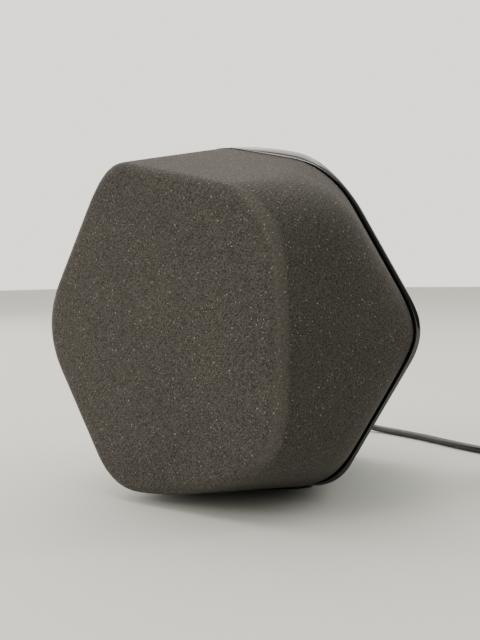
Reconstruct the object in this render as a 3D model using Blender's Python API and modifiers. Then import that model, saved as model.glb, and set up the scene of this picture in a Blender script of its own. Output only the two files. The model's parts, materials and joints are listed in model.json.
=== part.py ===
"""A faceted tabletop speakerphone, built as it comes apart on a bench.

The case is a many-sided solid cut by one upright plane, the rim. In front of the rim is a removable fabric
cover on a plastic frame, behind it a glossy shell that holds the electronics. Everything hangs on an empty
at the middle of the rim, with X to the right, Y to the back and Z up, so sizes are read from that point.
They are in millimetres, and the helpers turn them into metres.
"""

import math

import bmesh
import bpy
import numpy as np
from mathutils import Matrix, Vector

MM = 0.001
GAP = 0.3

# Case
FRONT_DEPTH = 56.5
REAR_DEPTH = 76.0
HALF_WIDTH = 86.5
SHOULDER = (43.0, 75.5)
CREST = (-20.5, 91.8)
FRONT_EDGE = (42.5, 53.5)
CHEEK = (61.7, -31.9, 58.0)
SOFT_EDGE = 6.0
RIM_Y = (FRONT_DEPTH - REAR_DEPTH) / 2

# Cover
FABRIC_THICK = 1.6
FRAME_THICK = 1.8
WINDOW_SCALE = 0.76
WINDOW_LEAST_AREA = 2000.0

# Rim, baffle and rear shell
TRIM_PROUD = 1.2
TRIM_CREST = (22.0, 87.5)
TRIM_DEPTH = 3.4
TRIM_INNER = 6.5
STRAIGHT_DEPTH = 6.0
SHELL_THICK = 3.0
REAR_LEFT = -66.0
REAR_RIGHT = 64.0
REAR_TOP_LEFT = 64.0
REAR_TOP_RIGHT = 56.1
CASE_BOTTOM = -SHOULDER[1] - TRIM_PROUD
BAFFLE_FRONT = 3.7
BAFFLE_BACK = 8.7
GASKET_BACK = 10.2
FLANGE_BACK = 13.5
SCREW_INSET = 10.5
PEG_INSET = 9.2

# Foot
FOOT_THICK = 2.5
FOOT_OUTLINE = [(-34, -38), (28, 3), (30, 10), (18, 56), (-20, 56), (-34, 10)]
AXIS_HEIGHT = FOOT_THICK + GAP - CASE_BOTTOM

# Drivers
WOOFER = (-14.0, -10.0)
WOOFER_RADIUS = 46.0
CONE_RADIUS = 32.2
COIL_RADIUS = 12.4
TWEETER = (36.0, 31.0)
TWEETER_RADIUS = 15.0
DOME_RADIUS = 9.5
MICROPHONE = (57.0, -7.0)

# Port, controls and sockets
PORT = (-2.0, 34.0)
PORT_RADIUS = 11.0
PORT_FLARE = 16.0
PORT_LENGTH = 40.0
PANEL_MIDDLE = (1.0, 34.0)
PANEL_SIZE = (38.0, 13.0)
PANEL_THICK = 2.4
BUTTON_SIZE = (7.4, 7.0)
BUTTON_PITCH = 9.0
BUTTON_PROUD = 0.6
BUTTON_NAMES = ("volume_down_button", "volume_up_button", "connect_button", "power_button")
SOCKET_MIDDLE = (-1.0, -52.0)
SOCKET_SIZE = (50.0, 20.0)
INLET_X = -14.0
INLET_CAVITY = (17.0, 11.0)
JACK_X = 6.0
SERVICE_X = 17.0

# Mains lead
CORD_DIAMETER = 4.2
PLUG_NOSE = (16.0, 10.0)
PLUG_BODY_LENGTH = 17.0
RELIEF_LENGTH = 18.0
COIL_MIDDLE = (134.0, 66.0)
COIL_TURN_RADIUS = 23.0
COIL_WIDTH = 13.2
COIL_HEIGHT = 16.0
PLUG_X = 167.0
PLUG_BACK_Y = 44.0
PLUG_AXIS_Z = 7.1
PLUG_LENGTH = 35.0
PLUG_WIDE = 34.0
PLUG_TALL = 13.4
PIN_SPREAD = 19.0
PIN_LENGTH = 19.0


# ---------------------------------------------------------------- scene and materials


def clear_scene():
    for obj in list(bpy.data.objects):
        bpy.data.objects.remove(obj, do_unlink=True)


def new_collection(name):
    collection = bpy.data.collections.new(name)
    bpy.context.scene.collection.children.link(collection)
    return collection


def new_empty(name, location, parent=None, rotation=None):
    empty = bpy.data.objects.new(name, None)
    parts.objects.link(empty)
    empty.parent = parent
    empty.location = Vector(location) * MM
    if rotation:
        empty.rotation_euler = rotation
    return empty


def new_material(name, colour, roughness, metallic=0.0):
    material = bpy.data.materials.new(name)
    material.use_nodes = True
    shader = material.node_tree.nodes["Principled BSDF"]
    shader.inputs["Base Color"].default_value = (*colour, 1.0)
    shader.inputs["Roughness"].default_value = roughness
    shader.inputs["Metallic"].default_value = metallic
    material.diffuse_color = (*colour, 1.0)
    return material


clear_scene()
parts = new_collection("conference_speakerphone")
cutters = new_collection("cutters")
rim = new_empty("rim_frame", (0, RIM_Y, AXIS_HEIGHT))

FABRIC = new_material("speckled_fabric", (0.075, 0.068, 0.064), 0.95)
GLOSS = new_material("black_gloss_plastic", (0.012, 0.012, 0.013), 0.12)
PLASTIC = new_material("black_matte_plastic", (0.03, 0.03, 0.03), 0.6)
RUBBER = new_material("black_rubber", (0.02, 0.02, 0.02), 0.85)
STEEL = new_material("zinc_plated_steel", (0.6, 0.6, 0.58), 0.35, 1.0)
FERRITE = new_material("ferrite", (0.08, 0.08, 0.085), 0.7)
PAPER = new_material("coated_paper", (0.05, 0.05, 0.055), 0.8)
SILK = new_material("coated_silk", (0.09, 0.09, 0.1), 0.5)
BOARD = new_material("green_circuit_board", (0.02, 0.12, 0.05), 0.45)
ALUMINIUM = new_material("plain_aluminium", (0.75, 0.76, 0.77), 0.4, 1.0)
BRASS = new_material("nickel_plated_brass", (0.75, 0.7, 0.6), 0.25, 1.0)
LENS = new_material("frosted_lens", (0.8, 0.82, 0.8), 0.3)


# ---------------------------------------------------------------- outlines in X and Z


def inset(outline, distance):
    """The outline with each side moved inwards; a negative distance moves it outwards."""
    count = len(outline)
    moved = []
    for i in range(count):
        here = Vector(outline[i])
        before = here - Vector(outline[i - 1])
        after = Vector(outline[(i + 1) % count]) - here
        n0 = Vector((-before.y, before.x)).normalized()
        n1 = Vector((-after.y, after.x)).normalized()
        moved.append(tuple(here + (n0 + n1) * distance / (1 + n0.dot(n1))))
    return moved


def rim_outline():
    """Anticlockwise from the right-hand corner, with a flat bottom."""
    across, up = SHOULDER
    top = [(HALF_WIDTH, 0.0), (across, up), CREST, (-across, up)]
    return top + [(-HALF_WIDTH, 0.0), (-across, -up), (across, -up)]


def rear_outline():
    """The back face: its slanted sides run level with the rim's, and its top closes the control facet."""
    lean = (HALF_WIDTH - SHOULDER[0]) / SHOULDER[1]
    top_right = (REAR_RIGHT - lean * REAR_TOP_RIGHT, REAR_TOP_RIGHT)
    top_left = (REAR_LEFT + lean * REAR_TOP_LEFT, REAR_TOP_LEFT)
    bottom_left = (REAR_LEFT - lean * CASE_BOTTOM, CASE_BOTTOM)
    bottom_right = (REAR_RIGHT + lean * CASE_BOTTOM, CASE_BOTTOM)
    return [(REAR_RIGHT, 0.0), top_right, top_left, (REAR_LEFT, 0.0), bottom_left, bottom_right]


RIM = rim_outline()
TRIM = inset(RIM, -TRIM_PROUD)
TRIM.insert(2, TRIM_CREST)


# ---------------------------------------------------------------- shapes


def add_object(name, mesh, material, parent=None, collection=None):
    obj = bpy.data.objects.new(name, mesh)
    (collection or parts).objects.link(obj)
    obj.parent = parent or rim
    if material:
        mesh.materials.append(material)
    return obj


def finish_mesh(name, bm):
    bmesh.ops.recalc_face_normals(bm, faces=bm.faces)
    mesh = bpy.data.meshes.new(name)
    bm.to_mesh(mesh)
    bm.free()
    return mesh


def smooth(obj, angle=35):
    obj.data.shade_smooth()
    obj.data.set_sharp_from_angle(angle=math.radians(angle))
    return obj


def hull_of(points):
    """A bmesh of the convex hull, with each flat facet one face."""
    bm = bmesh.new()
    for point in points:
        bm.verts.new(Vector(point) * MM)
    found = bmesh.ops.convex_hull(bm, input=bm.verts)
    spare = found["geom_interior"] + found["geom_unused"]
    unused = {item for item in spare if isinstance(item, bmesh.types.BMVert)}
    bmesh.ops.delete(bm, geom=list(unused), context="VERTS")
    bmesh.ops.dissolve_limit(bm, angle_limit=math.radians(2), verts=bm.verts, edges=bm.edges)
    return bm


def is_flush(item, y):
    return all(abs(vert.co.y - y * MM) < 1e-6 for vert in item.verts)


def shrink(bm, distance, open_y):
    """Moves each facet inwards, apart from the open one, which stays at its level and gets smaller."""
    bm.normal_update()
    steps = {}
    for vert in bm.verts:
        on_rim = abs(vert.co.y - open_y * MM) < 1e-6
        moving = [face for face in vert.link_faces if not is_flush(face, open_y)]
        normals = np.array([tuple(face.normal) for face in moving])
        if on_rim:
            normals[:, 1] = 0.0
        moves = np.full(len(moving), -distance * MM)
        steps[vert] = Vector(np.linalg.lstsq(normals, moves, rcond=None)[0])
    for vert, step in steps.items():
        vert.co += step
    bm.normal_update()


def open_case(name, bm, open_y, soft_edge, thick, material, segments=3, crease=None):
    """A shell from a closed hull: soft edges, the flush face left open, and a wall grown inwards."""
    edges = [edge for edge in bm.edges if not is_flush(edge, open_y)]
    if crease:
        edges = [edge for edge in edges if not is_flush(edge, crease)]
    bmesh.ops.bevel(bm, geom=edges, offset=soft_edge * MM, segments=segments, profile=0.5, affect="EDGES")
    lids = [face for face in bm.faces if is_flush(face, open_y)]
    bmesh.ops.delete(bm, geom=lids, context="FACES_ONLY")
    obj = smooth(add_object(name, finish_mesh(name, bm), material))
    wall = obj.modifiers.new("wall", "SOLIDIFY")
    wall.thickness = thick * MM
    wall.offset = -1.0
    return obj


def swept_outline(points, step, corner, edge=0.0):
    """A bmesh of a flat outline swept by a step, with its corners and then its edges rounded."""
    bm = bmesh.new()
    face = bm.faces.new([bm.verts.new(Vector(point) * MM) for point in points])
    sweep = bmesh.ops.extrude_face_region(bm, geom=[face])["geom"]
    moved = [item for item in sweep if isinstance(item, bmesh.types.BMVert)]
    bmesh.ops.translate(bm, verts=moved, vec=Vector(step) * MM)
    along = Vector(step).normalized()
    if corner:
        sides = [e for e in bm.edges if abs((e.verts[1].co - e.verts[0].co).normalized().dot(along)) > 0.99]
        bmesh.ops.bevel(bm, geom=sides, offset=corner * MM, segments=4, profile=0.5, affect="EDGES")
    if edge:
        rims = [e for e in bm.edges if abs((e.verts[1].co - e.verts[0].co).dot(along)) < 1e-7]
        bmesh.ops.bevel(bm, geom=rims, offset=edge * MM, segments=2, profile=0.5, affect="EDGES")
    return bm


def prism(name, outline, y0, y1, material, corner=0.0, edge=0.0, collection=None):
    """A plate that stands upright: its outline in X and Z, its thickness along Y."""
    bm = swept_outline([(x, y0, z) for x, z in outline], (0, y1 - y0, 0), corner, edge)
    return add_object(name, finish_mesh(name, bm), material, collection=collection)


def block(name, size, middle, material, edge=0.0, parent=None, collection=None):
    bm = bmesh.new()
    bmesh.ops.create_cube(bm, size=1.0)
    bmesh.ops.scale(bm, vec=Vector(size) * MM, verts=bm.verts)
    if edge:
        bmesh.ops.bevel(bm, geom=bm.edges[:], offset=edge * MM, segments=2, profile=0.5, affect="EDGES")
    obj = add_object(name, finish_mesh(name, bm), material, parent, collection)
    obj.location = Vector(middle) * MM
    return obj


def cutting_block(name, size, middle, parent=None):
    return block(name, size, middle, None, 0.0, parent, cutters)


def rod(name, radius, y0, y1, middle, material, sides=24, collection=None):
    """A cylinder along Y."""
    bm = bmesh.new()
    depth = (y1 - y0) * MM
    bmesh.ops.create_cone(bm, cap_ends=True, segments=sides, radius1=radius * MM, radius2=radius * MM,
                          depth=depth)
    obj = smooth(add_object(name, finish_mesh(name, bm), material, collection=collection))
    obj.rotation_euler = (-math.pi / 2, 0, 0)
    obj.location = Vector((middle[0], (y0 + y1) / 2, middle[1])) * MM
    return obj


def hole(name, radius, y0, y1, middle, sides=24):
    return rod(name, radius, y0, y1, middle, None, sides, cutters)


def turned(name, profile, middle, material, steps=32):
    """A profile of (radius, y) turned about an axis along Y. Its outer side runs from back to front."""
    bm = bmesh.new()
    verts = [bm.verts.new((radius * MM, 0, y * MM)) for radius, y in profile]
    on_axis = profile[0][0] == 0
    for a, b in zip(verts, verts[1:] + ([] if on_axis else verts[:1])):
        bm.edges.new((a, b))
    mesh = bpy.data.meshes.new(name)
    bm.to_mesh(mesh)
    bm.free()
    obj = add_object(name, mesh, material)
    obj.rotation_euler = (-math.pi / 2, 0, 0)
    obj.location = Vector((middle[0], 0, middle[1])) * MM
    turn = obj.modifiers.new("turn", "SCREW")
    turn.steps = turn.render_steps = steps
    turn.use_merge_vertices = True
    turn.merge_threshold = 1e-5
    return obj


def boolean(obj, other, operation):
    modifier = obj.modifiers.new(operation.lower(), "BOOLEAN")
    modifier.operation = operation
    modifier.object = other
    other.hide_render = True
    other.display_type = "WIRE"


def cut(obj, *others):
    for other in others:
        boolean(obj, other, "DIFFERENCE")
    return obj


def join(obj, *others):
    for other in others:
        boolean(obj, other, "UNION")
    return obj


def dome_profile(radius, height, base_y, thick, points=5):
    """A thin shallow dome that bulges to the front."""
    quarter = [math.pi / 2 * i / (points - 1) for i in range(points)]
    front = [(radius * math.cos(a), base_y - height * math.sin(a)) for a in quarter[:-1]]
    back = [((radius - thick) * math.cos(a), base_y - (height - thick) * math.sin(a)) for a in quarter[:-1]]
    return [(0, base_y - height + thick), *reversed(back), *front, (0, base_y - height)]


def roll_profile(inside, outside, base_y, thick, points=5):
    """The thin half-round roll that hangs a cone or a dome, bulging to the front."""
    middle, radius = (inside + outside) / 2, (outside - inside) / 2
    half = [math.pi * i / (points - 1) for i in range(points)]
    front = [(middle + radius * math.cos(a), base_y - radius * math.sin(a)) for a in half]
    thin = radius - thick
    back = [(middle + thin * math.cos(a), base_y - thin * math.sin(a)) for a in reversed(half)]
    return front + back


def screw(name, middle, seat, head_radius, shank_radius, tip):
    """A pan-head screw along Y, its recessed head in front of the seat and its shank behind."""
    top = seat - 1.8
    profile = [(0, tip), (shank_radius, tip), (shank_radius, seat), (head_radius, seat)]
    profile += [(head_radius, seat - 1.0), (head_radius * 0.7, top), (1.0, top)]
    profile += [(1.0, seat - 0.8), (0, seat - 0.8)]
    return turned(name, profile, middle, STEEL, 12)


# ---------------------------------------------------------------- fabric cover


def cover_hull():
    """The front half: a big pentagon faces the front, a second leans to the right, the rest meet the rim."""
    left, (edge_x, edge_z), (across, up) = -HALF_WIDTH, FRONT_EDGE, SHOULDER
    front = [(left, 0), (-across, up), (-across, -up), (edge_x, edge_z), (edge_x, -edge_z)]
    cheeks = [CHEEK, (CHEEK[0], CHEEK[1], -CHEEK[2])]
    return hull_of([(x, -FRONT_DEPTH, z) for x, z in front] + cheeks + [(x, -GAP, z) for x, z in RIM])


def window_cutter(name, face):
    """A prism through one facet, smaller than the facet, that lets the sound out of the frame."""
    middle = face.calc_center_median()
    points = []
    for vert in face.verts:
        corner = middle + (vert.co - middle) * WINDOW_SCALE
        points += [corner + face.normal * 5 * MM, corner - face.normal * 8 * MM]
    bm = hull_of([point / MM for point in points])
    return add_object(name, finish_mesh(name, bm), None, collection=cutters)


def make_cover():
    cloth = open_case("fabric_cover", cover_hull(), -GAP, SOFT_EDGE, FABRIC_THICK, FABRIC)
    behind = cutting_block("behind_the_rim", (200, 20, 200), (0, 10 - GAP, 0))
    cut(cloth, behind)
    bm = cover_hull()
    shrink(bm, FABRIC_THICK + 3 * GAP, -GAP)
    least = WINDOW_LEAST_AREA * MM * MM
    facets = [face for face in bm.faces if face.calc_area() > least and face.normal.y < -0.2]
    windows = [window_cutter(f"window_{i}", face) for i, face in enumerate(facets)]
    frame = open_case("cover_frame", bm, -GAP, SOFT_EDGE, FRAME_THICK, PLASTIC, 2)
    ledge = prism("cover_ledge", RIM, -2.4, -GAP - 0.2, None, 0, 0, cutters)
    bm = cover_hull()
    shrink(bm, FABRIC_THICK + 3 * GAP + FRAME_THICK / 3, -GAP)
    sides = [edge for edge in bm.edges if not is_flush(edge, -GAP)]
    bmesh.ops.bevel(bm, geom=sides, offset=SOFT_EDGE * MM, segments=2, profile=0.5, affect="EDGES")
    limit = add_object("ledge_limit", finish_mesh("ledge_limit", bm), None, collection=cutters)
    boolean(ledge, limit, "INTERSECT")
    cut(ledge, prism("ledge_opening", inset(RIM, 12.0), -9, 9, None, SOFT_EDGE - 2, 0, cutters))
    join(frame, ledge)
    cut(frame, behind, *windows)
    for i, place in enumerate(peg_places(), 1):
        join(frame, rod(f"cover_peg_{i}", 1.8, -2.0, BAFFLE_BACK - 1.0, place, None, 16, cutters))
        ring = [(3.2, BAFFLE_BACK), (3.2, BAFFLE_FRONT), (2.1, BAFFLE_FRONT), (2.1, BAFFLE_BACK)]
        turned(f"peg_sleeve_{i}", ring, place, RUBBER, 16)


def peg_places():
    """Halfway along three sides of the rim, between the screws."""
    corners = inset(RIM, PEG_INSET)
    return [Vector(corners[i]).lerp(Vector(corners[i - 1]), 0.5) for i in (0, 2, 4)]


# ---------------------------------------------------------------- rim, baffle and rear shell


def screw_places():
    """Just inside the six widest corners of the rim."""
    corners = inset(RIM, SCREW_INSET)
    return [corners[i] for i in (0, 1, 3, 4, 5, 6)]


def make_trim():
    ring = prism("trim_ring", TRIM, 0.0, TRIM_DEPTH, GLOSS, SOFT_EDGE, 0.9)
    cut(ring, prism("trim_opening", inset(RIM, TRIM_INNER), -5.0, 9.0, None, SOFT_EDGE - 2, 0, cutters))


def make_baffle():
    plate = prism("front_baffle", inset(RIM, 4.5), BAFFLE_FRONT, BAFFLE_BACK, PLASTIC, SOFT_EDGE - 1)
    y0, y1 = BAFFLE_FRONT - 5, BAFFLE_BACK + 5
    cut(plate, hole("woofer_hole", 40.3, y0, y1, WOOFER, 32))
    cut(plate, hole("tweeter_hole", 12.3, y0, y1, TWEETER))
    cut(plate, hole("microphone_hole", 3.3, y0, y1, MICROPHONE, 16))
    for i, place in enumerate(peg_places()):
        cut(plate, hole(f"peg_hole_{i}", 3.5, y0, y1, place, 16))
    for i, place in enumerate(screw_places(), 1):
        cut(plate, hole(f"baffle_screw_hole_{i}", 1.8, y0, y1, place, 14))
        screw(f"baffle_screw_{i}", place, BAFFLE_FRONT - GAP, 3.0, 1.5, FLANGE_BACK - 0.5)
    gasket = prism("baffle_gasket", inset(RIM, 5.0), BAFFLE_BACK + GAP, GASKET_BACK, RUBBER, SOFT_EDGE - 1)
    cut(gasket, prism("gasket_opening", inset(RIM, 8.0), 0, 20, None, SOFT_EDGE - 3, 0, cutters))
    return plate


def make_rear_shell(panel):
    front = TRIM_DEPTH + GAP
    points = [(x, y, z) for x, z in TRIM for y in (front, STRAIGHT_DEPTH)]
    points += [(x, REAR_DEPTH, z) for x, z in rear_outline()]
    hull = hull_of(points)
    shell = open_case("rear_shell", hull, front, SOFT_EDGE - 1, SHELL_THICK, GLOSS, 3, STRAIGHT_DEPTH)
    y0, y1 = GASKET_BACK + GAP, FLANGE_BACK
    flange = prism("shell_flange", inset(RIM, 2.5), y0, y1, None, SOFT_EDGE, 0, cutters)
    cut(flange, prism("flange_opening", inset(RIM, 15.0), 5, 20, None, SOFT_EDGE, 0, cutters))
    join(shell, flange)
    for i, place in enumerate(screw_places()):
        cut(shell, hole(f"shell_screw_hole_{i}", 1.8, 9.5, 20, place, 12))
    cut(shell, hole("port_hole", PORT_FLARE + GAP, 70, 80, PORT, 28))
    size = (SOCKET_SIZE[0] + 2 * GAP, 20, SOCKET_SIZE[1] + 2 * GAP)
    cut(shell, cutting_block("socket_slot", size, (SOCKET_MIDDLE[0], REAR_DEPTH, SOCKET_MIDDLE[1])))
    size = (PANEL_SIZE[0] + 2 * GAP, PANEL_SIZE[1] + 2 * GAP, 20)
    cut(shell, cutting_block("panel_slot", size, (0, 0, 0), panel))


def make_foot():
    level = CASE_BOTTOM - GAP - FOOT_THICK
    bm = swept_outline([(x, y, level) for x, y in FOOT_OUTLINE], (0, 0, FOOT_THICK), 5.0)
    add_object("base_foot", finish_mesh("base_foot", bm), RUBBER)


# ---------------------------------------------------------------- drivers


def make_woofer(baffle):
    front, back, seat = 1.2, 34.0, BAFFLE_FRONT - GAP
    outer = [(28.5, 35.5), (29.0, back), (39.6, seat), (WOOFER_RADIUS, seat), (WOOFER_RADIUS, front)]
    inner = [(39.9, front), (39.9, 2.0), (37.6, 4.4), (27.9, back - 1.6), (14.2, back - 1.6), (14.2, 35.5)]
    basket = turned("woofer_basket", outer + inner, WOOFER, STEEL)
    turned("woofer_magnet", [(30, 48), (30, 35.8), (14.2, 35.8), (14.2, 48)], WOOFER, FERRITE)
    pole = [(0, 52.5), (28, 52.5), (28, 48.3), (11.2, 48.3), (11.2, 35.0), (0, 35.0)]
    turned("woofer_back_plate", pole, WOOFER, STEEL)
    neck = COIL_RADIUS + 0.9
    paper = [(neck, 19.2), (CONE_RADIUS, 3.2), (CONE_RADIUS, 2.0), (neck, 18.0)]
    turned("woofer_cone", paper, WOOFER, PAPER, 32)
    wall = COIL_RADIUS + 0.6
    tube = [(wall, 44), (wall, 14), (COIL_RADIUS, 14), (COIL_RADIUS, 44)]
    turned("voice_coil", tube, WOOFER, ALUMINIUM, 24)
    turned("woofer_dust_cap", dome_profile(COIL_RADIUS + 0.4, 4.5, 13.7, 0.7), WOOFER, PAPER, 24)
    turned("woofer_surround", roll_profile(CONE_RADIUS + 0.4, 39.6, 2.0, 0.8), WOOFER, RUBBER, 32)
    web = COIL_RADIUS + 1.0
    turned("woofer_spider", [(27.5, 31.2), (27.5, 30.4), (web, 30.4), (web, 31.2)], WOOFER, PAPER, 24)
    for i in range(4):
        angle = math.radians(45 + 90 * i)
        place = (WOOFER[0] + 43.1 * math.cos(angle), WOOFER[1] + 43.1 * math.sin(angle))
        cut(basket, hole(f"basket_hole_{i}", 1.6, -2, 6, place, 12))
        cut(baffle, hole(f"woofer_screw_hole_{i}", 1.6, 0, 14, place, 12))
        screw(f"woofer_screw_{i + 1}", place, front - GAP, 2.5, 1.3, BAFFLE_BACK - 1)


def make_tweeter():
    seat = BAFFLE_FRONT - GAP
    outer = [(0, 24), (11, 24), (11.8, 22), (11.8, seat), (TWEETER_RADIUS, seat), (TWEETER_RADIUS, 1.4)]
    horn = [(11.2, 1.4), (DOME_RADIUS + 0.6, 4.2), (DOME_RADIUS + 0.6, 7.5), (0, 7.5)]
    turned("tweeter_housing", outer + horn, TWEETER, PLASTIC, 28)
    turned("tweeter_dome", dome_profile(DOME_RADIUS, 3.6, 7.1, 0.6), TWEETER, SILK, 24)


def make_microphone():
    seat = BAFFLE_FRONT - GAP
    ring = [(3.0, 9.5), (3.0, seat), (4.6, seat), (4.6, 2.4), (2.2, 2.4), (2.2, 9.5)]
    turned("microphone_boot", ring, MICROPHONE, RUBBER, 16)
    rod("microphone_capsule", 1.9, 4.0, 9.0, MICROPHONE, ALUMINIUM, 16)


# ---------------------------------------------------------------- port, controls and sockets


def make_port():
    """A tube that flares at the back face, its flare shaped by a quarter circle."""
    end = REAR_DEPTH - GAP
    flare = PORT_FLARE - PORT_RADIUS - 1.5
    turns = [math.pi / 2 * i / 4 for i in range(5)]
    inside = [(PORT_RADIUS + flare * (1 - math.cos(a)), end - flare * (1 - math.sin(a))) for a in turns]
    outside = [(PORT_FLARE, end), (PORT_FLARE, end - 2.5), (PORT_RADIUS + 1.8, end - 6)]
    outside += [(PORT_RADIUS + 1.8, end - PORT_LENGTH), (PORT_RADIUS, end - PORT_LENGTH)]
    turned("port_tube", outside + inside, PORT, PLASTIC, 28)


def panel_normal():
    """Square to the facet through the trim's crest points and the top of the back face."""
    a, b = Vector((TRIM[3][0], STRAIGHT_DEPTH, TRIM[3][1])), Vector((TRIM[2][0], STRAIGHT_DEPTH, TRIM[2][1]))
    top_left = rear_outline()[2]
    c = Vector((top_left[0], REAR_DEPTH, top_left[1]))
    normal = (b - a).cross(c - a).normalized()
    return a, normal if normal.z > 0 else -normal


def make_panel_frame():
    """An empty on the control facet, its local Z square to it and its local X along the row of buttons."""
    corner, normal = panel_normal()
    x, y = PANEL_MIDDLE
    z = corner.z - ((x - corner.x) * normal.x + (y - corner.y) * normal.y) / normal.z
    across = Vector((normal.z, 0, -normal.x)).normalized()
    up = normal.cross(across)
    turn = Matrix((across, up, normal)).transposed().to_euler()
    return new_empty("panel_frame", (x, y, z), rim, turn)


def make_controls(panel):
    plate = block("control_panel", (*PANEL_SIZE, PANEL_THICK), (0, 0, -PANEL_THICK / 2), GLOSS, 0, panel)
    board = block("button_board", (34, 10, 1.2), (0, 0, -5.8), BOARD, 0, panel)
    for i, name in enumerate(BUTTON_NAMES):
        x = (i - 1.5) * BUTTON_PITCH
        size = (BUTTON_SIZE[0] + 0.5, BUTTON_SIZE[1] + 0.5, 9)
        cut(plate, cutting_block(f"{name}_hole", size, (x, -1.0, 0), panel))
        height = BUTTON_PROUD + PANEL_THICK + 1.2
        button = block(name, (*BUTTON_SIZE, height), (x, -1.0, BUTTON_PROUD - height / 2), GLOSS, 0.5, panel)
        lip = block(f"{name}_lip", (8.4, 8.4, 0.8), (x, -1.0, -PANEL_THICK - 0.75), None, 0, panel, cutters)
        join(button, lip)
    cut(plate, cutting_block("light_hole", (3.4, 1.5, 9), (0, 4.7, 0), panel))
    block("status_light", (2.8, 0.9, 3.0), (0, 4.7, -1.5), LENS, 0, panel)


def make_sockets():
    x, z = SOCKET_MIDDLE
    face = REAR_DEPTH - GAP
    plate = block("socket_plate", (SOCKET_SIZE[0], 2.4, SOCKET_SIZE[1]), (x, face - 1.2, z), PLASTIC)
    wide, tall = INLET_CAVITY
    cut(plate, cutting_block("inlet_hole", (wide + 3.6, 9, tall + 3.6), (INLET_X, face, z)))
    cut(plate, hole("jack_hole", 3.3, 60, 80, (JACK_X, z), 20))
    cut(plate, cutting_block("service_hole", (9.6, 9, 3.8), (SERVICE_X, face, z)))

    inlet = block("power_inlet", (wide + 3.0, 21.0, tall + 3.0), (INLET_X, face - 10.5, z), PLASTIC)
    cut(inlet, cutting_block("inlet_cavity", (wide, 17.0, tall), (INLET_X, face - 7.0, z)))
    for side in (-1, 1):
        place = (INLET_X + side * 4.3, z)
        join(inlet, rod(f"inlet_pin_{side}", 1.2, face - 18, face - 5, place, None, 12, cutters))
    jack = [(3.0, face), (3.0, face - 16), (1.85, face - 16), (1.85, face)]
    turned("audio_jack", jack, (JACK_X, z), BRASS, 20)
    service = block("service_port", (9.0, 9.0, 3.2), (SERVICE_X, face - 4.6, z), STEEL)
    cut(service, cutting_block("service_cavity", (8.0, 9.0, 2.2), (SERVICE_X, face - 3.2, z)))


# ---------------------------------------------------------------- electronics


def make_electronics():
    block("main_board", (78.0, 1.6, 46.0), (-4.0, 62.0, -14.0), BOARD)
    block("wireless_module", (22.0, 2.6, 16.0), (-28.0, 64.4, -4.0), ALUMINIUM)
    make_heatsink()
    block("power_supply_board", (40.0, 34.0, 1.6), (0.0, 32.0, -68.0), BOARD)
    block("transformer", (18.0, 18.0, 14.0), (-9.0, 32.0, -59.8), FERRITE, 1.0)
    for i, y in enumerate((25.0, 39.0), 1):
        can = rod(f"capacitor_{i}", 5.0, -6.5, 6.5, (0, 0), ALUMINIUM, 16)
        can.rotation_euler = (0, 0, 0)
        can.location = Vector((9.0, y, -60.3)) * MM


def make_heatsink():
    """A finned plate on the main board's right half."""
    sink = block("heatsink", (30.0, 2.0, 24.0), (18.0, 64.1, -14.0), ALUMINIUM)
    for i in range(6):
        x = 18.0 - 13.0 + 5.2 * i
        join(sink, block(f"fin_{i}", (1.4, 6.0, 24.0), (x, 67.6, -14.0), None, collection=cutters))


# ---------------------------------------------------------------- mains lead, in world millimetres


def in_rim(point):
    """A world point as read from the middle of the rim."""
    x, y, z = point
    return (x, y - RIM_Y, z - AXIS_HEIGHT)


def smooth_route(points, spacing):
    """Points along a smooth curve through the given ones, about evenly spaced."""
    route = [Vector(point) for point in points]
    ends = [2 * route[0] - route[1], *route, 2 * route[-1] - route[-2]]
    found = [route[0]]
    for a, b, c, d in zip(ends, ends[1:], ends[2:], ends[3:]):
        steps = max(1, round((c - b).length / spacing))
        for i in range(1, steps + 1):
            t = i / steps
            curve = 2 * b + (c - a) * t + (2 * a - 5 * b + 4 * c - d) * t**2 + (3 * b - a - 3 * c + d) * t**3
            found.append(curve / 2)
    return found


def tube(name, points, material):
    curve = bpy.data.curves.new(name, "CURVE")
    curve.dimensions = "3D"
    curve.bevel_depth = CORD_DIAMETER / 2 * MM
    curve.bevel_resolution = 2
    curve.use_fill_caps = True
    spline = curve.splines.new("POLY")
    route = smooth_route(points, 2.4 * CORD_DIAMETER)
    spline.points.add(len(route) - 1)
    for item, point in zip(spline.points, route):
        item.co = (*(Vector(in_rim(point)) * MM), 1.0)
    obj = bpy.data.objects.new(name, curve)
    parts.objects.link(obj)
    obj.parent = rim
    curve.materials.append(material)


def make_connector():
    """The lead's own socket, half in the inlet, and the tapered sleeve behind it."""
    z = SOCKET_MIDDLE[1]
    wide, tall = PLUG_NOSE
    face = REAR_DEPTH
    body = block("lead_connector", (wide + 2, PLUG_BODY_LENGTH, tall + 2),
                 (INLET_X, face + GAP + PLUG_BODY_LENGTH / 2, z), PLASTIC, 1.6)
    nose = block("connector_nose", (wide, 14, tall), (INLET_X, face - 4.0, z), None, 1.5, collection=cutters)
    join(body, nose)
    for side in (-1, 1):
        cut(body, hole(f"pin_hole_{side}", 1.6, face - 30, face - 3, (INLET_X + side * 4.3, z), 12))
    back = face + 2 * GAP + PLUG_BODY_LENGTH
    sleeve = [(0, back + RELIEF_LENGTH), (2.6, back + RELIEF_LENGTH), (4.6, back), (0, back)]
    turned("connector_relief", sleeve, (INLET_X, z), RUBBER, 24)
    return back + RELIEF_LENGTH + RIM_Y, z + AXIS_HEIGHT


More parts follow.
